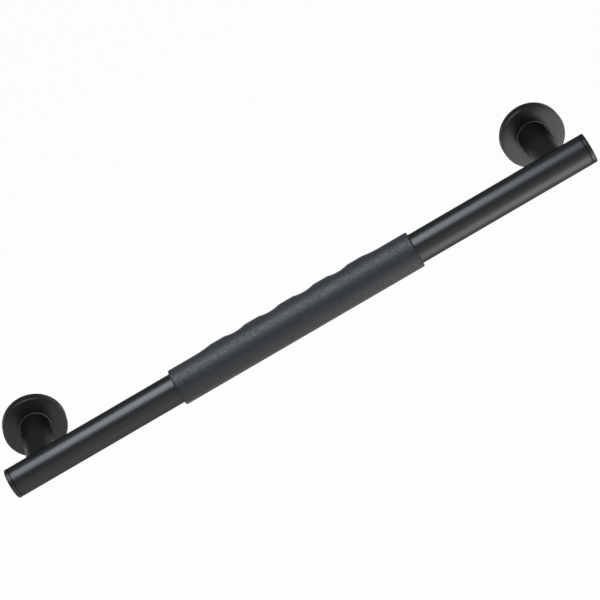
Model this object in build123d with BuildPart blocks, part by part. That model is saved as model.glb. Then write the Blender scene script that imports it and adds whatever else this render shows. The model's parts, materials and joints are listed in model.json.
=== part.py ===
from build123d import *
from math import acos, degrees, radians, sin, tan
import os

# Straight grab bar with a rubber grip sleeve, in millimetres.
# The wall is the plane y = 0, the bar runs along X and stands off towards -Y, and +Z is up.
# The origin is on the wall, midway between the two posts.
# What comes in pairs is drawn at the right-hand end and mirrored to the left.

# Bar
bar_length = 665.0  # over both end caps
tube_diameter = 32.0
tube_wall = 1.5
tube_edge_break = 0.4
standoff = 96.0  # from the wall to the bar's axis
post_overhang = 37.5  # from a post's axis to the end of the bar

# End caps
cap_head = 4.9  # what shows beyond the tube
cap_edge_break = 0.7
spigot_length = 8.0
spigot_clearance = 0.05

# Posts
post_diameter = 31.5
post_wall = 2.0
saddle_clearance = 0.3

# Flange covers
cover_diameter = 67.0
cover_wall = 1.5
screw_head_room = 4.5  # between the plate and the inside of the cover
cover_hole_clearance = 1.4  # all round the post
cover_edge_break = 0.8
cover_lip_break = 0.5

# Cover seals
seal_clearance = 0.05  # to the post and to the cover's hole
seal_length = 1.6  # along the post
seal_recess = 0.4  # behind the cover's face

# Mounting plates
plate_thickness = 5.0
plate_clearance = 0.4  # between the plate's rim and the cover's wall
boss_height = 3.0
boss_clearance = 0.1
screw_rim_distance = 7.6  # from the plate's rim to the middle of a screw hole
screw_hole_diameter = 6.5
screw_count = 3

# Tie bolts
bolt_diameter = 8.0
bolt_head_diameter = 16.0
bolt_head_angle = 90.0
bolt_head_recess = 0.3
bolt_head_land = 0.4
bolt_seat_clearance = 0.05
bolt_hole_clearance = 0.5
bolt_tip_break = 0.8
bolt_past_nut = 2.0
hex_across_flats = 5.0
hex_depth = 3.0

# Saddle nuts
nut_length = 24.0
nut_width = 16.0
nut_thickness = 8.0
nut_clearance = 0.1
thread_clearance = 0.05

# Grip sleeve
grip_length = 274.0
grip_shift = -3.6  # along the bar, from its middle
grip_wall = 3.35
grip_clearance = 0.05
grip_end_break = 1.2
ridge_count = 5
ridge_width = 16.8  # of the flat top
ridge_height = 3.5
groove_radius = 20.0
run_out_radius = 56.0  # of the hollow outside the outer ridges

# Sizes that follow from those above
tube_radius = tube_diameter / 2
bore_radius = tube_radius - tube_wall
tube_length = bar_length - 2 * cap_head
post_radius = post_diameter / 2
post_bore_radius = post_radius - post_wall
post_place = bar_length / 2 - post_overhang
cover_radius = cover_diameter / 2
cover_hole_radius = post_radius + cover_hole_clearance
cover_bore_radius = cover_radius - cover_wall
cover_height = plate_thickness + screw_head_room + cover_wall
plate_radius = cover_bore_radius - plate_clearance
bolt_radius = bolt_diameter / 2
bolt_hole_radius = bolt_radius + bolt_hole_clearance
bolt_head_radius = bolt_head_diameter / 2
bolt_head_slope = tan(radians(bolt_head_angle / 2))
bolt_cone_start = bolt_head_recess + bolt_head_land
nut_seat_radius = bore_radius - nut_clearance
grip_radius = tube_radius + grip_wall


def bar_section(x):
    """Plane across the bar at x, centred on its axis, first direction to the wall, second up."""
    return Plane(origin=(x, -standoff, 0), x_dir=(0, 1, 0), z_dir=(1, 0, 0))


# Half sections for turned pieces: first direction along the axis or the radius, second across it
cap_profile = Plane(origin=(tube_length / 2, -standoff, 0), x_dir=(1, 0, 0), z_dir=(0, 0, 1))
post_profile = Plane(origin=(post_place, 0, 0), x_dir=(1, 0, 0), z_dir=(0, 0, -1))
bar_axis = Axis((0, -standoff, 0), (1, 0, 0))
post_axis = Axis((post_place, 0, 0), (0, -1, 0))

# Bar tube, drilled on the wall side for the tie bolts
with BuildPart() as bar_tube:
    with BuildSketch(bar_section(-tube_length / 2)):
        Circle(tube_radius)
        Circle(bore_radius, mode=Mode.SUBTRACT)
    extrude(amount=tube_length)
    end_rings = bar_tube.edges().filter_by(GeomType.CIRCLE).group_by(SortBy.RADIUS)[-1]
    chamfer(end_rings, length=tube_edge_break)
    with BuildSketch(Plane.XZ.offset(standoff)):
        with Locations((-post_place, 0), (post_place, 0)):
            Circle(bolt_hole_radius)
    extrude(amount=-2 * tube_radius, mode=Mode.SUBTRACT)
bar_tube.part.label = "bar_tube"

# End caps, each a turned head with a spigot that sits in the tube
with BuildPart() as end_cap_right:
    spigot_radius = bore_radius - spigot_clearance
    with BuildSketch(cap_profile):
        with BuildLine():
            Polyline(
                (cap_head, 0),
                (cap_head, tube_radius - cap_edge_break),
                (cap_head - cap_edge_break, tube_radius),
                (0, tube_radius),
                (0, spigot_radius),
                (-spigot_length, spigot_radius),
                (-spigot_length, 0),
                close=True,
            )
        make_face()
    revolve(axis=bar_axis)
end_cap_right.part.label = "end_cap_right"

with BuildPart() as end_cap_left:
    mirror(end_cap_right.part, about=Plane.YZ)
end_cap_left.part.label = "end_cap_left"

# Posts, tubes cut to a saddle that takes the bar
with BuildPart() as post_right:
    with BuildSketch(Plane.XZ.offset(plate_thickness)):
        with Locations((post_place, 0)):
            Circle(post_radius)
            Circle(post_bore_radius, mode=Mode.SUBTRACT)
    extrude(amount=standoff - plate_thickness)
    with BuildSketch(bar_section(post_place)):
        Circle(tube_radius + saddle_clearance)
    extrude(amount=post_diameter, both=True, mode=Mode.SUBTRACT)
post_right.part.label = "post_right"

with BuildPart() as post_left:
    mirror(post_right.part, about=Plane.YZ)
post_left.part.label = "post_left"

# Flange covers, a pair of shallow cups over the plates
with BuildPart() as flange_covers:
    with BuildSketch(post_profile):
        with BuildLine():
            Polyline(
                (cover_radius, 0),
                (cover_radius, cover_height - cover_edge_break),
                (cover_radius - cover_edge_break, cover_height),
                (cover_hole_radius + cover_lip_break, cover_height),
                (cover_hole_radius, cover_height - cover_lip_break),
                (cover_hole_radius, cover_height - cover_wall),
                (cover_bore_radius, cover_height - cover_wall),
                (cover_bore_radius, 0),
                close=True,
            )
        make_face()
    revolve(axis=post_axis)
    mirror(about=Plane.YZ)
flange_covers.part.label = "flange_covers"

# Cover seals, a pair of soft rings that hold each cover centred on its post
with BuildPart() as cover_seals:
    seal_inner_radius = post_radius + seal_clearance
    seal_outer_radius = cover_hole_radius - seal_clearance
    seal_front = cover_height - seal_recess
    with BuildSketch(post_profile):
        with BuildLine():
            Polyline(
                (seal_inner_radius, seal_front - seal_length),
                (seal_outer_radius, seal_front - seal_length),
                (seal_outer_radius, seal_front),
                (seal_inner_radius, seal_front),
                close=True,
            )
        make_face()
    revolve(axis=post_axis)
    mirror(about=Plane.YZ)
cover_seals.part.label = "cover_seals"

# Mounting plates, a pair of discs with a boss for the post and wall screw holes
with BuildPart() as mounting_plates:
    bolt_seat_radius = bolt_head_radius + bolt_cone_start * bolt_head_slope + bolt_seat_clearance
    with BuildSketch(Plane.XZ):
        with Locations((post_place, 0)):
            Circle(plate_radius)
            with PolarLocations(plate_radius - screw_rim_distance, screw_count):
                Circle(screw_hole_diameter / 2, mode=Mode.SUBTRACT)
    extrude(amount=plate_thickness)
    with BuildSketch(Plane.XZ.offset(plate_thickness)):
        with Locations((post_place, 0)):
            Circle(post_bore_radius - boss_clearance)
    extrude(amount=boss_height)
    with Locations(Plane(origin=(post_place, 0, 0), z_dir=(0, 1, 0))):
        CounterSinkHole(bolt_hole_radius, bolt_seat_radius, counter_sink_angle=bolt_head_angle)
    mirror(about=Plane.YZ)
mounting_plates.part.label = "mounting_plates"

# Tie bolts, a pair of long countersunk bolts with hexagon sockets
with BuildPart() as tie_bolts:
    bolt_cone_end = bolt_cone_start + (bolt_head_radius - bolt_radius) / bolt_head_slope
    bolt_length = standoff - nut_seat_radius + nut_thickness + bolt_past_nut
    with BuildSketch(post_profile):
        with BuildLine():
            Polyline(
                (0, bolt_head_recess),
                (bolt_head_radius, bolt_head_recess),
                (bolt_head_radius, bolt_cone_start),
                (bolt_radius, bolt_cone_end),
                (bolt_radius, bolt_length - bolt_tip_break),
                (bolt_radius - bolt_tip_break, bolt_length),
                (0, bolt_length),
                close=True,
            )
        make_face()
    revolve(axis=post_axis)
    with BuildSketch(Plane.XZ.offset(bolt_head_recess)):
        with Locations((post_place, 0)):
            RegularPolygon(hex_across_flats / 2, 6, major_radius=False)
    extrude(amount=hex_depth, mode=Mode.SUBTRACT)
    mirror(about=Plane.YZ)
tie_bolts.part.label = "tie_bolts"

# Saddle nuts, a pair of blocks with one face curved to the inside of the tube
with BuildPart() as saddle_nuts:
    with BuildSketch(bar_section(post_place - nut_length / 2)):
        Circle(nut_seat_radius)
        with Locations((nut_seat_radius - nut_thickness / 2, 0)):
            Rectangle(nut_thickness, nut_width, mode=Mode.INTERSECT)
    extrude(amount=nut_length)
    with BuildSketch(Plane.XZ.offset(standoff)):
        with Locations((post_place, 0)):
            Circle(bolt_radius + thread_clearance)
    extrude(amount=-tube_radius, mode=Mode.SUBTRACT)
    mirror(about=Plane.YZ)
saddle_nuts.part.label = "saddle_nuts"


# Grip sleeve: plain and round in front, while its wall side follows a line of ridges and grooves
def slope_turn(hollow_radius):
    """Degrees that a hollow of this radius turns through between its bottom and a ridge's edge."""
    return degrees(acos(1 - ridge_height / hollow_radius))


def slope_length(hollow_radius):
    """Length along the bar from the bottom of a hollow to the edge of the ridge beside it."""
    return hollow_radius * sin(radians(slope_turn(hollow_radius)))


def level(start, length):
    """Straight stretch along the bar. Like the next two, it returns its end point."""
    return Line(start, start + (length, 0)) @ 1


def rise(start, hollow_radius):
    return JernArc(start, (1, 0), hollow_radius, slope_turn(hollow_radius)) @ 1


def fall(start, hollow_radius):
    bottom = start + (slope_length(hollow_radius), -ridge_height)
    JernArc(bottom, (-1, 0), hollow_radius, -slope_turn(hollow_radius))
    return bottom


ridged_length = ridge_count * ridge_width + 2 * (ridge_count - 1) * slope_length(groove_radius)
plain_length = (grip_length - ridged_length) / 2 - slope_length(run_out_radius)
grip_start = grip_shift - grip_length / 2

with BuildLine() as ridge_line:
    here = level(Vector(grip_start, -standoff), plain_length)
    here = rise(here, run_out_radius)
    here = level(here, ridge_width)
    for groove in range(ridge_count - 1):
        here = fall(here, groove_radius)
        here = rise(here, groove_radius)
        here = level(here, ridge_width)
    here = fall(here, run_out_radius)
    level(here, plain_length)

with BuildPart() as grip_sleeve:
    # Wall side: a half round with a straight tail, carried along the ridge line without turning
    with BuildSketch(bar_section(grip_start)):
        with BuildLine():
            ThreePointArc((0, -grip_radius), (grip_radius, 0), (0, grip_radius))
            Polyline(
                (0, grip_radius),
                (-2 * ridge_height, grip_radius),
                (-2 * ridge_height, -grip_radius),
                (0, -grip_radius),
            )
        make_face()
    sweep(path=ridge_line.line, normal=(1, 0, 0))
    split(bisect_by=Plane.XZ.offset(standoff), keep=Keep.BOTTOM)
    # Front: a plain half round
    with BuildSketch(bar_section(grip_start)):
        with BuildLine():
            ThreePointArc((0, -grip_radius), (-grip_radius, 0), (0, grip_radius))
            Line((0, grip_radius), (0, -grip_radius))
        make_face()
    extrude(amount=grip_length)
    with BuildSketch(bar_section(grip_start)):
        Circle(tube_radius + grip_clearance)
    extrude(amount=grip_length, mode=Mode.SUBTRACT)
    sleeve_ends = grip_sleeve.faces().filter_by(Axis.X)
    chamfer([end.outer_wire().edge() for end in sleeve_ends], length=grip_end_break)
grip_sleeve.part.label = "grip_sleeve"

os.makedirs("parts", exist_ok=True)
for piece in (
    bar_tube,
    end_cap_left,
    end_cap_right,
    post_left,
    post_right,
    flange_covers,
    cover_seals,
    mounting_plates,
    tie_bolts,
    saddle_nuts,
    grip_sleeve,
):
    export_step(piece.part, f"parts/{piece.part.label}.step")
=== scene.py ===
# %% [markdown]
# # A grab bar with a rubber grip
#
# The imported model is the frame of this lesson: every piece has its real size and place there, in metres,
# with the wall at y = 0, the bar along X and Z up. The frame is loaded first and never moved. The lesson
# then models the pieces that show, with the small rounded edges that catch light, and gives every surface
# its finish. The plates, bolts and nuts inside stay as the frame has them and only get a finish.

# %% Load the frame
import json
from math import acos, cos, pi, radians, sin, sqrt

import bmesh
import bpy
from mathutils import Matrix, Vector


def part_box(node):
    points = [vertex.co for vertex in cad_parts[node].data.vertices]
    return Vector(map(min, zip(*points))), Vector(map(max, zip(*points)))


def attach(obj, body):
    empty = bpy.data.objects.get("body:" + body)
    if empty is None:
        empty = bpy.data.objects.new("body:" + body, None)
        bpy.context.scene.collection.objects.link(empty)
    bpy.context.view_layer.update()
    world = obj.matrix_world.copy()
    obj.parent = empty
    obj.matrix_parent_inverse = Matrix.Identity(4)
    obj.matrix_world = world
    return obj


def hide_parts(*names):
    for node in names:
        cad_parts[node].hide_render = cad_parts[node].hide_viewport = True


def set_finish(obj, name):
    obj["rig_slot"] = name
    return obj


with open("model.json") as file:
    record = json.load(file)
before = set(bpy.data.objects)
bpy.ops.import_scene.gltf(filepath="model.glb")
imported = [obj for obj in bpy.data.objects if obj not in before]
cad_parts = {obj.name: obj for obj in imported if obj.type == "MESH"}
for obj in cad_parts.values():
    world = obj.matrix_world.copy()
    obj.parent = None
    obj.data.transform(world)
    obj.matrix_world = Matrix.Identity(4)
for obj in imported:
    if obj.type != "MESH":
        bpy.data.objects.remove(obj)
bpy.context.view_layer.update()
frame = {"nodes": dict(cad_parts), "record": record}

nodes = frame["nodes"]
print("nodes:", sorted(nodes))

# %% [markdown]
# ## Selecting in code
#
# In Blender's window a modeller clicks edges and faces. A script says which ones it means by where they
# lie, so the main helper here goes through a mesh and selects what passes a test. An operator acts on all
# that is selected, and loading leaves the frame's nodes selected, so each step first clears the selection
# or narrows it to one object.

# %% Clear the selection


def clear_selection():
    """Leave edit mode with nothing selected, so that the next primitive stands alone."""
    if bpy.context.mode != "OBJECT":
        bpy.ops.object.mode_set(mode="OBJECT")
    bpy.ops.object.select_all(action="DESELECT")


def only(obj):
    """Make obj the one selected and active object, out of edit mode."""
    clear_selection()
    obj.select_set(True)
    bpy.context.view_layer.objects.active = obj


clear_selection()
print("nodes still selected:", sum(node.select_get() for node in nodes.values()))

# %% Select by place
hair = 1e-5  # how near counts as on a plane
slack = 1e-4  # how near counts as on a ring


def pick(obj, kind, test):
    """Select the edges or faces of obj whose corners pass the test, and stay in edit mode."""
    only(obj)
    bpy.context.tool_settings.mesh_select_mode = (False, kind == "EDGE", kind == "FACE")
    bpy.ops.object.mode_set(mode="EDIT")
    bpy.ops.mesh.select_all(action="DESELECT")
    mesh = bmesh.from_edit_mesh(obj.data)
    picked = 0
    for element in mesh.edges if kind == "EDGE" else mesh.faces:
        if test(*[corner.co for corner in element.verts]):
            element.select_set(True)
            picked += 1
    bmesh.update_edit_mesh(obj.data)
    return picked


def everything(*corners):
    return True


print(f"on a plane: within {hair * 1000:.2f} mm, on a ring: within {slack * 1000:.1f} mm")

# %% [markdown]
# ## Bar tube
#
# The bar is a drawn steel tube, cut square, with its ends lightly broken so that the coat holds on the
# corner, and with two holes on its wall side for the bolts in the posts. Its size could be typed in. It
# is read from the frame instead, where a node's box has the radius as half its height and the axis as its
# middle, so the new piece sits exactly where the frame has it. An open cylinder with a Solidify modifier
# gives the wall. Two cuts beside each hole keep the faces there short, so that drilling it with a Boolean
# leaves the long smooth strips of the tube as they are.

# %% Measure the tube and the posts
tube_low, tube_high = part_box("bar_tube")
tube_radius = (tube_high.z - tube_low.z) / 2
tube_end = tube_high.x
bar_y = (tube_low.y + tube_high.y) / 2

post_low, post_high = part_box("post_right")
post_x = (post_low.x + post_high.x) / 2
post_radius = (post_high.z - post_low.z) / 2
print(f"tube radius {tube_radius:.4f}, bar axis y {bar_y:.4f}, posts at x {post_x:.4f}")

# %% Draw the tube
ring_steps = 128
tube_wall = 0.0015
hole_margin = 0.008  # from a hole's middle to the cuts beside it
along_x = (0, pi / 2, 0)


def fix_place(obj, name):
    """Name a piece and put its place into its mesh, so that the object itself sits at the origin."""
    only(obj)
    bpy.ops.object.transform_apply(location=True, rotation=True, scale=True)
    obj.name = name
    obj.data.name = name


def apply_modifier(obj, kind, **settings):
    """Give obj a modifier with these settings and make its result the mesh."""
    only(obj)
    modifier = obj.modifiers.new(kind.lower(), kind)
    for key, value in settings.items():
        setattr(modifier, key, value)
    bpy.ops.object.modifier_apply(modifier=modifier.name)


clear_selection()
bpy.ops.mesh.primitive_cylinder_add(
    vertices=ring_steps, radius=tube_radius, depth=2 * tube_end, end_fill_type="NOTHING",
    location=(0, bar_y, 0), rotation=along_x)
tube = bpy.context.object
fix_place(tube, "tube")
for hole_x in (-post_x, post_x):
    for cut_x in (hole_x - hole_margin, hole_x + hole_margin):
        pick(tube, "FACE", everything)
        bpy.ops.mesh.bisect(plane_co=(cut_x, bar_y, 0), plane_no=(1, 0, 0))
apply_modifier(tube, "SOLIDIFY", thickness=tube_wall, offset=-1)
print("tube faces:", len(tube.data.polygons))

# %% Break the tube's ends
tube_edge_break = 0.0005


def from_bar_axis(point):
    return Vector((point.y - bar_y, point.z)).length


def outer_end_ring(a, b):
    """Edges round the outside of either end of the tube."""
    return all(abs(p.x) > tube_end - hair and from_bar_axis(p) > tube_radius - slack for p in (a, b))


print("end edges:", pick(tube, "EDGE", outer_end_ring))
bpy.ops.mesh.bevel(offset=tube_edge_break, segments=1, affect="EDGES")

# %% Drill the bolt holes
bolt_hole_radius = 0.0045
bolt_hole_steps = 48
along_y = (pi / 2, 0, 0)

for side in (-1, 1):
    clear_selection()
    bpy.ops.mesh.primitive_cylinder_add(
        vertices=bolt_hole_steps, radius=bolt_hole_radius, depth=2 * tube_radius,
        location=(side * post_x, bar_y + tube_radius, 0), rotation=along_y)
    drill = bpy.context.object
    apply_modifier(tube, "BOOLEAN", object=drill, operation="DIFFERENCE", solver="EXACT")
    bpy.data.objects.remove(drill)
print("tube faces with holes:", len(tube.data.polygons))

# %% [markdown]
# ## Handing a piece over
#
# A finished piece is shaded smooth up to an angle, so that round faces run into each other and real
# corners stay sharp. It then rides on the body that carries it, says which finish it has, and stands for
# the node it was made after. This grab bar has no moving parts, so all pieces ride on the one body.

# %% Hand the tube over
smooth_angle = radians(32)


def hand_over(obj, slot, *replaced):
    """Shade a finished piece, let it ride on the one body, and let it stand for its nodes."""
    only(obj)
    bpy.ops.object.shade_smooth_by_angle(angle=smooth_angle)
    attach(obj, "root")
    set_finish(obj, slot)
    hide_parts(*replaced)
    print(f"{obj.name}: {len(obj.data.vertices)} vertices, {len(obj.data.polygons)} faces")


hand_over(tube, "black_coat", "bar_tube")

# %% [markdown]
# ## End caps
#
# A turned cap closes each end: a head as wide as the tube, and a spigot that sits inside it. The head's
# outer edge is clearly rounded. At the joint, the tube's end and the head's back both have a small flat
# break, so a V-shaped line runs round the bar there, with a narrow dark neck at its bottom. The cap could
# be spun from a drawn profile. Starting from a cylinder, and going on by bevel, inset and extrude,
# follows how it is turned, and the measures stay plain to see. The left cap is a mirrored copy.

# %% Draw the cap's head
cap_low, cap_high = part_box("end_cap_right")
cap_edge_round = 0.0013
cap_seam_break = 0.0005
neck_length = 0.0002
head_back = tube_end + neck_length

clear_selection()
bpy.ops.mesh.primitive_cylinder_add(
    vertices=ring_steps, radius=tube_radius, depth=cap_high.x - head_back, end_fill_type="NGON",
    location=((head_back + cap_high.x) / 2, bar_y, 0), rotation=along_x)
cap = bpy.context.object
fix_place(cap, "cap_right")
print("outer edges:", pick(cap, "EDGE", lambda a, b: min(a.x, b.x) > cap_high.x - hair))
bpy.ops.mesh.bevel(offset=cap_edge_round, segments=6, affect="EDGES")
print("seam edges:", pick(cap, "EDGE", lambda a, b: max(a.x, b.x) < head_back + hair))
bpy.ops.mesh.bevel(offset=cap_seam_break, segments=1, affect="EDGES")

# %% Draw the cap's neck and spigot
neck_depth = 0.0012
spigot_clearance = 0.00005
spigot_length = tube_end - cap_low.x
spigot_radius = tube_radius - tube_wall - spigot_clearance


def face_outwards(obj):
    """Turn all faces of a piece to look outwards."""
    only(obj)
    bpy.ops.object.mode_set(mode="EDIT")
    bpy.ops.mesh.select_all(action="SELECT")
    bpy.ops.mesh.normals_make_consistent(inside=False)
    bpy.ops.object.mode_set(mode="OBJECT")


pick(cap, "FACE", lambda *corners: max(p.x for p in corners) < head_back + hair)
bpy.ops.mesh.inset(thickness=neck_depth - cap_seam_break)
bpy.ops.mesh.extrude_region_move(TRANSFORM_OT_translate={"value": (-neck_length, 0, 0)})
bpy.ops.mesh.inset(thickness=tube_radius - neck_depth - spigot_radius)
bpy.ops.mesh.extrude_region_move(TRANSFORM_OT_translate={"value": (-spigot_length, 0, 0)})
face_outwards(cap)
print(f"spigot radius {spigot_radius:.5f}, length {spigot_length:.4f}")

# %% Copy the cap to the left


def mirror_copy(obj, name):
    """Copy a right-hand piece, with a mesh of its own, to the left-hand end."""
    only(obj)
    bpy.ops.object.duplicate(linked=False)
    copy = bpy.context.object
    copy.scale.x = -1
    fix_place(copy, name)
    face_outwards(copy)
    return copy


cap_left = mirror_copy(cap, "cap_left")
hand_over(cap, "black_coat", "end_cap_right")
hand_over(cap_left, "black_coat", "end_cap_left")

# %% [markdown]
# ## Posts
#
# Each post is a short tube from the wall plate to the bar. Its far end is cut to a saddle, the curve in
# which one round tube meets another. The saddle could be cut by a Boolean. But the height of the end ring
# above the wall has a formula, so the rings are moved there point by point, and the faces stay clean
# strips.

# %% Draw the post's tube
post_wall = 0.002
post_cuts = 16
post_length = post_high.y - bar_y

clear_selection()
bpy.ops.mesh.primitive_cylinder_add(
    vertices=ring_steps, radius=post_radius, depth=post_length, end_fill_type="NOTHING",
    location=(post_x, (post_high.y + bar_y) / 2, 0), rotation=along_y)
post = bpy.context.object
fix_place(post, "post_tube_right")
apply_modifier(post, "SOLIDIFY", thickness=post_wall, offset=-1)
print("long edges:", pick(post, "EDGE", lambda a, b: abs(a.y - b.y) > hair))
bpy.ops.mesh.subdivide(number_cuts=post_cuts)
bpy.ops.object.mode_set(mode="OBJECT")

# %% Shape the saddle
saddle_clearance = 0.0003
saddle_radius = tube_radius + saddle_clearance

for vertex in post.data.vertices:
    saddle_y = bar_y + sqrt(saddle_radius ** 2 - vertex.co.z ** 2)
    along = (vertex.co.y - bar_y) / post_length
    vertex.co.y = saddle_y + along * (post_high.y - saddle_y)
post_left = mirror_copy(post, "post_tube_left")
hand_over(post, "black_coat", "post_right")
hand_over(post_left, "black_coat", "post_left")

# %% [markdown]
# ## Flange covers
#
# A cover is a shallow pressed cup that hides the wall plate: a flat face with a hole for the post, a
# short straight rim and small rounds where the metal turns. It could be a solid disc with a pocket cut
# into it. Such covers are sheet, so the cup starts as a cylinder without its back, an inset draws the
# hole, and a Solidify modifier gives the sheet's thickness. Bevels then round the rim and the lip of the
# hole.

# %% Draw the cover's cup
cover_low, cover_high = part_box("flange_covers")
cover_radius = (cover_high.z - cover_low.z) / 2
cover_front = cover_low.y
cover_x = cover_high.x - cover_radius
cover_wall = 0.0015
cover_hole_clearance = 0.0014
cover_hole_radius = post_radius + cover_hole_clearance

clear_selection()
bpy.ops.mesh.primitive_cylinder_add(
    vertices=ring_steps, radius=cover_radius, depth=-cover_front, end_fill_type="NGON",
    location=(cover_x, cover_front / 2, 0), rotation=along_y)
cover = bpy.context.object
fix_place(cover, "cover_right")
pick(cover, "FACE", lambda *corners: min(p.y for p in corners) > -hair)
bpy.ops.mesh.delete(type="ONLY_FACE")
pick(cover, "FACE", lambda *corners: max(p.y for p in corners) < cover_front + hair)
bpy.ops.mesh.inset(thickness=cover_radius - cover_hole_radius)
bpy.ops.mesh.delete(type="ONLY_FACE")
face_outwards(cover)
apply_modifier(cover, "SOLIDIFY", thickness=cover_wall, offset=-1, use_even_offset=True)
print(f"cover radius {cover_radius:.4f}, hole radius {cover_hole_radius:.4f}")

# %% Round the cover's rim and lip
cover_edge_round = 0.0009
cover_lip_round = 0.0006


def ring_at(radius, y):
    """A test for edges on the ring of this radius round the post, in the plane of this y."""
    def on_ring(point):
        reach = Vector((point.x - cover_x, point.z)).length
        return abs(point.y - y) < hair and abs(reach - radius) < slack

    return lambda a, b: on_ring(a) and on_ring(b)


print("rim edges:", pick(cover, "EDGE", ring_at(cover_radius, cover_front)))
bpy.ops.mesh.bevel(offset=cover_edge_round, segments=6, affect="EDGES")
print("lip edges:", pick(cover, "EDGE", ring_at(cover_hole_radius, cover_front)))
bpy.ops.mesh.bevel(offset=cover_lip_round, segments=5, affect="EDGES")
cover_left = mirror_copy(cover, "cover_left")
hand_over(cover, "black_coat", "flange_covers")
hand_over(cover_left, "black_coat", "flange_covers")

# %% [markdown]
# ## Cover seals
#
# A soft ring lies in the gap between each post and the hole of its cover and keeps the cover centred. It
# shows as a thin pale line round the post. A torus would be quick, but a ring that fills such a gap has
# flat sides. So it is drawn from a circle: up along the post, out across its front, back along the hole,
# and closed by a bridge. A bevel then rounds the two front edges, because moulded silicone has no sharp
# ones.

# %% Draw the seal
seal_low, seal_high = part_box("cover_seals")
seal_clearance = 0.00005
seal_outer = (seal_high.z - seal_low.z) / 2
seal_inner = post_radius + seal_clearance
seal_length = seal_high.y - seal_low.y

clear_selection()
bpy.ops.mesh.primitive_circle_add(
    vertices=ring_steps, radius=seal_inner, fill_type="NOTHING",
    location=(post_x, seal_high.y, 0), rotation=along_y)
seal = bpy.context.object
fix_place(seal, "seal_right")
pick(seal, "EDGE", everything)
bpy.ops.mesh.extrude_region_move(TRANSFORM_OT_translate={"value": (0, -seal_length, 0)})
outward = seal_outer / seal_inner
bpy.ops.mesh.extrude_region_move()
bpy.ops.transform.resize(value=(outward, 1, outward), center_override=(post_x, seal_low.y, 0))
bpy.ops.mesh.extrude_region_move(TRANSFORM_OT_translate={"value": (0, seal_length, 0)})
print("edges to bridge:", pick(seal, "EDGE", lambda a, b: min(a.y, b.y) > seal_high.y - hair))
bpy.ops.mesh.bridge_edge_loops()
face_outwards(seal)

# %% Round the seal's front
seal_edge_round = 0.0005


def front_ring(a, b):
    """Edges that run round the front of the seal, not across it."""
    reach = [Vector((p.x - post_x, p.z)).length for p in (a, b)]
    return max(a.y, b.y) < seal_low.y + hair and abs(reach[0] - reach[1]) < hair


print("front edges:", pick(seal, "EDGE", front_ring))
bpy.ops.mesh.bevel(offset=seal_edge_round, segments=4, affect="EDGES")
seal_left = mirror_copy(seal, "seal_left")
hand_over(seal, "seal_rubber", "cover_seals")
hand_over(seal_left, "seal_rubber", "cover_seals")

# %% [markdown]
# ## Grip sleeve
#
# The sleeve is moulded rubber pushed over the tube. Seen from the front it is plain and round. On the
# wall side five flat ridges stand out, with hollows between them where the fingertips lie. Separate
# ridges could be joined on with a Boolean, but they would meet the plain half in a hard line. So the
# sleeve is drawn ring by ring, each extruded from the one before, and the half of each ring that faces
# the wall is then pushed out by as much as a ridge line says.

# %% The ridge line
grip_low, grip_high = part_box("grip_sleeve")
grip_radius = bar_y - grip_low.y
grip_middle = (grip_low.x + grip_high.x) / 2
ridge_height = grip_high.y - bar_y - grip_radius
ridge_count = 5
ridge_width = 0.0168
groove_radius = 0.020
run_out_radius = 0.056


def slope_length(hollow_radius):
    """How long a round hollow takes from its bottom up to the height of a ridge."""
    return hollow_radius * sin(acos(1 - ridge_height / hollow_radius))


ridge_pitch = ridge_width + 2 * slope_length(groove_radius)
outer_edge = (ridge_count - 1) / 2 * ridge_pitch + ridge_width / 2


def ridge_line(x):
    """How far the wall side stands out at x: flat tops, hollows between them and long ones outside."""
    along = abs(x - grip_middle)
    if along > outer_edge:
        hollow = run_out_radius
        from_edge = along - outer_edge
    else:
        hollow = groove_radius
        from_ridge = abs((along + ridge_pitch * ridge_count / 2) % ridge_pitch - ridge_pitch / 2)
        from_edge = from_ridge - ridge_width / 2
    if from_edge <= 0:
        return ridge_height
    to_bottom = slope_length(hollow) - from_edge
    return hollow - sqrt(hollow ** 2 - to_bottom ** 2) if to_bottom > 0 else 0.0


print(f"ridges {ridge_height:.4f} high, {ridge_pitch:.4f} apart, {2 * outer_edge:.4f} over all")

# %% Draw the sleeve's rings
grip_steps = 112
ring_pitch = 0.001
grip_length = grip_high.x - grip_low.x
ring_count = round(grip_length / ring_pitch)

clear_selection()
bpy.ops.mesh.primitive_circle_add(
    vertices=grip_steps, radius=grip_radius, fill_type="NOTHING",
    location=(grip_low.x, bar_y, 0), rotation=along_x)
sleeve = bpy.context.object
fix_place(sleeve, "sleeve")
pick(sleeve, "EDGE", everything)
for ring in range(ring_count):
    bpy.ops.mesh.extrude_region_move(TRANSFORM_OT_translate={"value": (grip_length / ring_count, 0, 0)})
print("rings:", ring_count)

# %% Close the sleeve along its bore
grip_clearance = 0.00005
grip_bore = tube_radius + grip_clearance
inward = grip_bore / grip_radius

bpy.ops.mesh.extrude_region_move()
bpy.ops.transform.resize(value=(1, inward, inward), center_override=(grip_high.x, bar_y, 0))
bpy.ops.mesh.extrude_region_move(TRANSFORM_OT_translate={"value": (-grip_length, 0, 0)})
print("edges to bridge:", pick(sleeve, "EDGE", lambda a, b: max(a.x, b.x) < grip_low.x + hair))
bpy.ops.mesh.bridge_edge_loops()
face_outwards(sleeve)

# %% Round the sleeve's ends
grip_end_round = 0.0015


def sleeve_end_ring(a, b):
    """Edges round the outside of either end of the sleeve."""
    at_end = all(min(p.x - grip_low.x, grip_high.x - p.x) < hair for p in (a, b))
    return at_end and all(from_bar_axis(p) > grip_radius - slack for p in (a, b))


print("end edges:", pick(sleeve, "EDGE", sleeve_end_ring))
bpy.ops.mesh.bevel(offset=grip_end_round, segments=6, affect="EDGES")
bpy.ops.object.mode_set(mode="OBJECT")

# %% Push out the ridges
ridge_edge_round = 0.0009
ease_steps = 4


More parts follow.
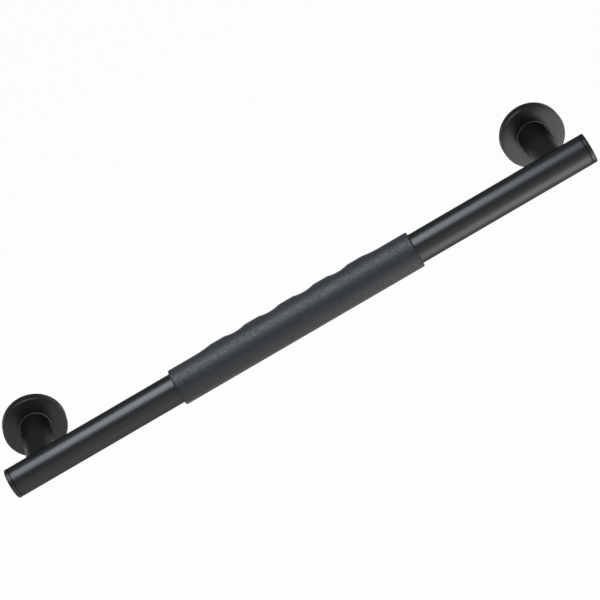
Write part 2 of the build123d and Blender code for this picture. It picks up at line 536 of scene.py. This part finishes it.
def soft_ridge_line(x):
    """The ridge line with its corners eased, as the mean over a short stretch."""
    reach = [ridge_edge_round * step / ease_steps for step in range(-ease_steps, ease_steps + 1)]
    return sum(ridge_line(x + offset) for offset in reach) / len(reach)


for vertex in sleeve.data.vertices:
    on_wall_side = vertex.co.y > bar_y + hair
    on_outside = from_bar_axis(vertex.co) > grip_bore + slack
    if on_wall_side and on_outside:
        vertex.co.y += soft_ridge_line(vertex.co.x)
hand_over(sleeve, "grip_rubber", "grip_sleeve")

# %% [markdown]
# ## Satin black coat
#
# The tube, caps, posts and covers have a satin black coat that was baked on as powder. One colour and one
# roughness would make it look like plastic. So the tone wanders a little over a few centimetres, the
# gloss is slightly uneven, and a very fine ripple breaks up the reflections. Seen edge-on this coat stays
# dark where a plain shader turns bright, so Layer Weight takes gloss away there. All patterns read Object
# coordinates, in metres, so a scale of 1000 means features of about a millimetre.

# %% Start the coat


def new_finish(name):
    """A material with only its shader and output, and the means to add nodes to it."""
    material = bpy.data.materials.new(name)
    material.use_nodes = True
    tree = material.node_tree
    tree.nodes.clear()
    shader = tree.nodes.new("ShaderNodeBsdfPrincipled")
    output = tree.nodes.new("ShaderNodeOutputMaterial")
    tree.links.new(shader.outputs["BSDF"], output.inputs["Surface"])
    return material, tree, shader


black_coat, tree, shader = new_finish("satin_black_coat")
print("started", black_coat.name)

# %% Tone of the coat
coat_dark = (0.0042, 0.0043, 0.0047)
coat_light = (0.0058, 0.0060, 0.0065)


def grain(tree, scale, detail, stretch=(1, 1, 1)):
    """Noise over Object coordinates, with features of about 1 / scale metres."""
    place = tree.nodes.new("ShaderNodeTexCoord")
    mapping = tree.nodes.new("ShaderNodeMapping")
    mapping.inputs["Scale"].default_value = stretch
    noise = tree.nodes.new("ShaderNodeTexNoise")
    noise.inputs["Scale"].default_value = scale
    noise.inputs["Detail"].default_value = detail
    tree.links.new(place.outputs["Object"], mapping.inputs["Vector"])
    tree.links.new(mapping.outputs["Vector"], noise.inputs["Vector"])
    return noise.outputs["Fac"]


def two_tone(tree, value, dark, light, start=0.35, end=0.65):
    """Turn noise into colours from dark, at start, to light, at end."""
    ramp = tree.nodes.new("ShaderNodeValToRGB")
    ramp.color_ramp.elements[0].position = start
    ramp.color_ramp.elements[0].color = (*dark, 1)
    ramp.color_ramp.elements[1].position = end
    ramp.color_ramp.elements[1].color = (*light, 1)
    tree.links.new(value, ramp.inputs["Fac"])
    return ramp.outputs["Color"]


tone = two_tone(tree, grain(tree, scale=30, detail=3), dark=coat_dark, light=coat_light)
tree.links.new(tone, shader.inputs["Base Color"])
print("coat from", coat_dark, "to", coat_light)

# %% Gloss of the coat
face_on_gloss = 0.5
edge_on_gloss = 0.03


def spread(tree, value, low, high, start=0.3, end=0.7):
    """Turn a value between start and end into a number between low and high."""
    node = tree.nodes.new("ShaderNodeMapRange")
    node.inputs["From Min"].default_value = start
    node.inputs["From Max"].default_value = end
    node.inputs["To Min"].default_value = low
    node.inputs["To Max"].default_value = high
    tree.links.new(value, node.inputs["Value"])
    return node.outputs["Result"]


roughness = spread(tree, grain(tree, scale=700, detail=2), low=0.325, high=0.36)
tree.links.new(roughness, shader.inputs["Roughness"])
facing = tree.nodes.new("ShaderNodeLayerWeight").outputs["Facing"]
gloss = spread(tree, facing, low=face_on_gloss, high=edge_on_gloss, start=0.22, end=0.66)
tree.links.new(gloss, shader.inputs["Specular IOR Level"])
print("gloss from", face_on_gloss, "face-on to", edge_on_gloss, "edge-on")

# %% Ripple of the coat
ripple_depth = 0.000012


def bump(tree, shader, height, depth, strength):
    """Raise the surface by a pattern, depth metres from its lows to its highs."""
    node = tree.nodes.new("ShaderNodeBump")
    node.inputs["Strength"].default_value = strength
    node.inputs["Distance"].default_value = depth
    tree.links.new(height, node.inputs["Height"])
    tree.links.new(node.outputs["Normal"], shader.inputs["Normal"])


bump(tree, shader, grain(tree, scale=1900, detail=2), depth=ripple_depth, strength=0.2)
print(f"ripple {ripple_depth * 1000:.3f} mm deep, coat has {len(tree.nodes)} nodes")

# %% [markdown]
# ## Grip rubber
#
# The sleeve is matte slate-grey rubber with a moulded grain that glitters a little under a lamp.
# Modelling the grain would take millions of faces, so the material does it. Three noises of nearly the
# same size work together: one speckles the colour, one varies the roughness, and one raises the surface.

# %% Grip rubber
grip_rubber, tree, shader = new_finish("slate_grip_rubber")
speckle = two_tone(
    tree, grain(tree, scale=600, detail=3), dark=(0.0098, 0.0112, 0.0130), light=(0.0180, 0.0205, 0.0235))
tree.links.new(speckle, shader.inputs["Base Color"])
roughness = spread(tree, grain(tree, scale=720, detail=1), low=0.38, high=0.66)
tree.links.new(roughness, shader.inputs["Roughness"])
shader.inputs["Specular IOR Level"].default_value = 0.42
bump(tree, shader, grain(tree, scale=680, detail=2), depth=0.00025, strength=0.9)
print("made", grip_rubber.name, "with", len(tree.nodes), "nodes")

# %% [markdown]
# ## Seal silicone
#
# The seals are soft silicone, a paler grey than the coat and smoother than the grip. So little of them
# shows that one plain colour would nearly do. A faint mottle and a fine skin keep them from looking like
# paint in a close view.

# %% Seal silicone
seal_rubber, tree, shader = new_finish("seal_silicone")
mottle = two_tone(
    tree, grain(tree, scale=240, detail=3), dark=(0.095, 0.095, 0.092), light=(0.135, 0.135, 0.13))
tree.links.new(mottle, shader.inputs["Base Color"])
roughness = spread(tree, grain(tree, scale=600, detail=2), low=0.38, high=0.52)
tree.links.new(roughness, shader.inputs["Roughness"])
bump(tree, shader, grain(tree, scale=900, detail=2), depth=0.00003, strength=0.3)
print("made", seal_rubber.name, "with", len(tree.nodes), "nodes")

# %% [markdown]
# ## Bare steel
#
# The plates, bolts and nuts are bare stainless steel, hidden in use. Brushed metal can be made with an
# anisotropic shader. One noise, stretched into fine lines, is simpler and can be baked for an exported
# model: it drives the tone, the roughness and a slight relief together.

# %% Bare steel
plain_steel, tree, shader = new_finish("bare_steel")
lines = grain(tree, scale=70, detail=4, stretch=(0.6, 12, 12))
tone = two_tone(tree, lines, dark=(0.25, 0.255, 0.26), light=(0.38, 0.385, 0.39))
tree.links.new(tone, shader.inputs["Base Color"])
shader.inputs["Metallic"].default_value = 1.0
tree.links.new(spread(tree, lines, low=0.30, high=0.48), shader.inputs["Roughness"])
bump(tree, shader, lines, depth=0.00003, strength=0.5)
print("made", plain_steel.name, "with", len(tree.nodes), "nodes")

# %% [markdown]
# ## Putting the finishes on
#
# The frame's record says which finish each node has, and the new pieces were handed over with the same
# names, so one table serves both. It could be typed out piece by piece, but reading the names leaves no
# room for a slip.

# %% Put the finishes on
finishes = {
    "black_coat": black_coat,
    "grip_rubber": grip_rubber,
    "seal_rubber": seal_rubber,
    "plain_steel": plain_steel,
}
slot_of_node = {row["node"]: row["material_slot"] for row in frame["record"]["subparts"]}
for name, node in nodes.items():
    for material_slot in node.material_slots:
        material_slot.material = finishes[slot_of_node[name]]
pieces = (tube, cap, cap_left, post, post_left, cover, cover_left, seal, seal_left, sleeve)
for piece in pieces:
    piece.data.materials.clear()
    piece.data.materials.append(finishes[piece["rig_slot"]])
print("finished nodes:", len(nodes), "and new pieces:", len(pieces))

# %% [markdown]
# ## Floor and backdrop
#
# The bar hangs in a bright, plain room, with a pale floor well below it. More light would turn the floor
# white, but it would fall on the bar too. So the floor's material glows white for rays from the camera
# and for those that a surface reflects or lets through, and takes plain light and soft shadows otherwise.
# From below it is clear, so that the bar can be looked at from there. A low round backdrop of the same
# material closes the horizon for views that are nearly level.

# %% Floor
floor_depth = 0.6
floor_size = 80

clear_selection()
bpy.ops.mesh.primitive_plane_add(size=floor_size, location=(0, 0, -floor_depth))
floor = bpy.context.object
floor.name = "floor"
pale, tree, shader = new_finish("pale_floor")
shader.inputs["Base Color"].default_value = (0.85, 0.85, 0.85, 1)
shader.inputs["Roughness"].default_value = 0.9
shader.inputs["Specular IOR Level"].default_value = 0.0
floor.data.materials.append(pale)
print("floor", floor_depth, "m below the bar")

# %% White to the eye
floor_white_share = 0.97

white = tree.nodes.new("ShaderNodeEmission")
white.inputs["Strength"].default_value = 1.0
rays = tree.nodes.new("ShaderNodeLightPath")
seen = rays.outputs["Is Camera Ray"]
for ray in ("Is Glossy Ray", "Is Transmission Ray"):
    either = tree.nodes.new("ShaderNodeMath")
    either.operation = "MAXIMUM"
    tree.links.new(seen, either.inputs[0])
    tree.links.new(rays.outputs[ray], either.inputs[1])
    seen = either.outputs[0]
share = tree.nodes.new("ShaderNodeMath")
share.operation = "MULTIPLY"
share.inputs[1].default_value = floor_white_share
tree.links.new(seen, share.inputs[0])
blend = tree.nodes.new("ShaderNodeMixShader")
tree.links.new(share.outputs[0], blend.inputs["Fac"])
tree.links.new(shader.outputs["BSDF"], blend.inputs[1])
tree.links.new(white.outputs["Emission"], blend.inputs[2])
print("white share of the floor:", floor_white_share)

# %% Clear from below
side = tree.nodes.new("ShaderNodeNewGeometry")
clear = tree.nodes.new("ShaderNodeBsdfTransparent")
one_way = tree.nodes.new("ShaderNodeMixShader")
tree.links.new(side.outputs["Backfacing"], one_way.inputs["Fac"])
tree.links.new(blend.outputs["Shader"], one_way.inputs[1])
tree.links.new(clear.outputs["BSDF"], one_way.inputs[2])
output = next(node for node in tree.nodes if node.type == "OUTPUT_MATERIAL")
tree.links.new(one_way.outputs["Shader"], output.inputs["Surface"])
print("made", pale.name, "with", len(tree.nodes), "nodes")

# %% Backdrop
backdrop_radius = 28
backdrop_height = 2.85
backdrop_steps = 96

clear_selection()
bpy.ops.mesh.primitive_cylinder_add(
    vertices=backdrop_steps, radius=backdrop_radius, depth=backdrop_height, end_fill_type="NOTHING",
    location=(0, 0, backdrop_height / 2 - floor_depth))
backdrop = bpy.context.object
backdrop.name = "backdrop"
print("faces turned inwards:", pick(backdrop, "FACE", everything))
bpy.ops.mesh.flip_normals()
bpy.ops.object.mode_set(mode="OBJECT")
backdrop.data.materials.append(pale)

# %% [markdown]
# ## Light
#
# A round bar shows each lamp as a band along its length, so the light comes from a few wide, soft panels.
# The overhead panel draws the long pale band on top. The front fill keeps the front from going black, and
# two low panels light the underside, more so towards the right end. A dim world fills in the rest. Lamps
# are commonly set by their power. Here each is set by how bright its face is, because that is what a
# reflection shows.

# %% World
world = bpy.data.worlds.new("room")
bpy.context.scene.world = world
world.use_nodes = True
room = world.node_tree.nodes["Background"]
room.inputs["Color"].default_value = (0.96, 0.98, 1.0, 1)
room.inputs["Strength"].default_value = 0.25
print("world strength:", room.inputs["Strength"].default_value)

# %% Lamps


def panel(name, place, aim, size_x, size_y, radiance, colour):
    """A soft light panel that looks from place to aim. Radiance is how bright its face is."""
    lamp = bpy.data.lights.new(name, "AREA")
    lamp.shape = "RECTANGLE"
    lamp.size = size_x
    lamp.size_y = size_y
    lamp.energy = radiance * pi * size_x * size_y
    lamp.color = colour
    holder = bpy.data.objects.new(name, lamp)
    bpy.context.scene.collection.objects.link(holder)
    holder.location = place
    holder.rotation_euler = (Vector(aim) - Vector(place)).to_track_quat("-Z", "Y").to_euler()
    holder.visible_camera = False
    print(f"{name}: {size_x} x {size_y} m, {lamp.energy:.2f} W")


panel(
    "overhead_panel", place=(-0.14, -0.36, 1.1), aim=(-0.14, -0.36, 0),
    size_x=0.96, size_y=0.94, radiance=7.1, colour=(0.83, 0.915, 1.0))
panel(
    "front_fill", place=(-0.06, -2.1, 0.5), aim=(-0.06, bar_y, 0),
    size_x=1.04, size_y=0.9, radiance=0.58, colour=(0.98, 0.985, 1.0))
panel(
    "low_front_panel", place=(0.21, -0.62, -0.55), aim=(0.21, -0.62, 0),
    size_x=1.18, size_y=0.65, radiance=0.32, colour=(0.98, 0.985, 1.0))
panel(
    "low_right_panel", place=(0.55, -0.68, -0.5), aim=(0.55, -0.68, 0),
    size_x=0.9, size_y=0.96, radiance=2.3, colour=(0.97, 0.985, 1.0))

# %% [markdown]
# ## Camera
#
# The camera looks down on the bar from the front and is rolled, so that the bar crosses the picture at a
# slant. Its angles, distance and focal length were fitted to edges measured in the photograph. A
# constraint could aim it, but would leave the roll to be set apart. So its three axes are worked out from
# the angles and put into its matrix.

# %% Lens
image_width = 600
focal_pixels = 2585.182

camera_data = bpy.data.cameras.new("camera")
camera_data.sensor_width = 36
camera_data.lens = focal_pixels * camera_data.sensor_width / image_width
camera = bpy.data.objects.new("camera", camera_data)
bpy.context.scene.collection.objects.link(camera)
bpy.context.scene.camera = camera
bpy.context.scene.view_settings.view_transform = "Standard"
print(f"lens {camera_data.lens:.1f} mm")

# %% Aim
camera_elevation = radians(26.171)
camera_yaw = radians(2.570)
camera_roll = radians(31.382)
camera_distance = 2.559388
camera_target = Vector((0.009270, bar_y, 0.015557))

forward = Vector((
    -sin(camera_yaw) * cos(camera_elevation),
    cos(camera_yaw) * cos(camera_elevation),
    -sin(camera_elevation)))
level_right = forward.cross(Vector((0, 0, 1))).normalized()
level_down = forward.cross(level_right)
image_right = cos(camera_roll) * level_right + sin(camera_roll) * level_down
image_down = -sin(camera_roll) * level_right + cos(camera_roll) * level_down
turn = Matrix((image_right, -image_down, -forward)).transposed()
camera.matrix_world = Matrix.Translation(camera_target - camera_distance * forward) @ turn.to_4x4()
print("camera at", [round(c, 4) for c in camera.location])
